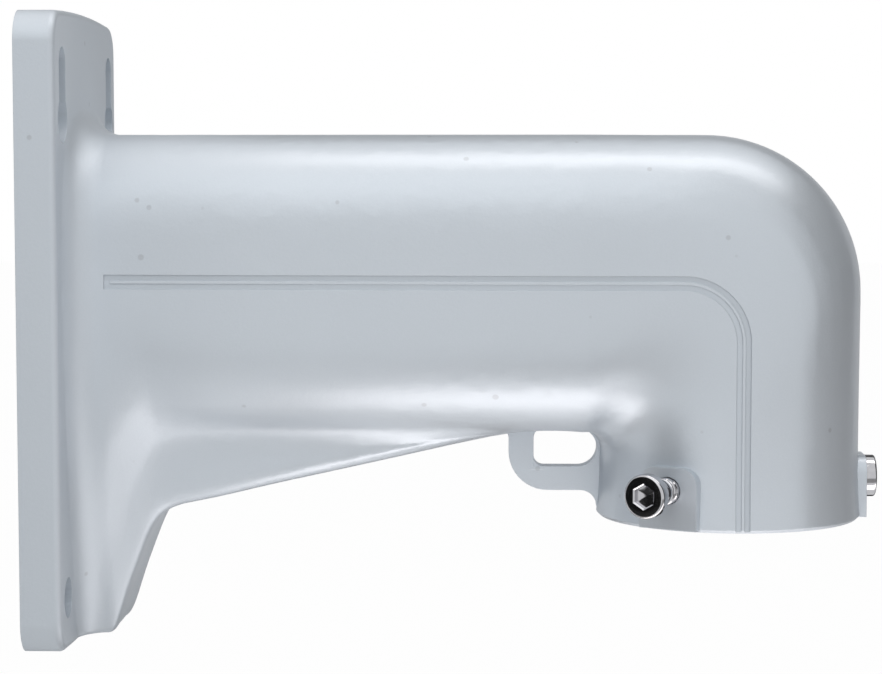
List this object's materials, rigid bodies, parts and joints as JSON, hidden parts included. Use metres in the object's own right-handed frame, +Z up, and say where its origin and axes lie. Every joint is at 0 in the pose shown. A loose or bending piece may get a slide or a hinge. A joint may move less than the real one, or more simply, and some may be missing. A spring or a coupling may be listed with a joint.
{
  "type": "camera wall bracket",
  "caption": "Cast gooseneck wall bracket for a dome camera: keyholed wall plate, hollow arm with foot and elbow, round collar with clamp screws and a safety-cord eye.",
  "frame": {"origin": "centre of the wall plate's back face, on the wall", "axes": "+X away from the wall along the arm, +Z up, +Y across the plate"},
  "size_m": [0.2547, 0.1035, 0.19],
  "materials": {
    "painted_body": "satin pearl light-grey powder paint",
    "screw_steel": "polished stainless steel"
  },
  "bodies": {
    "root": {"bracket_body": "painted_body", "clamp_screw_right": "screw_steel", "clamp_screw_near": "screw_steel", "clamp_screw_far": "screw_steel"}
  },
  "joints": []
}
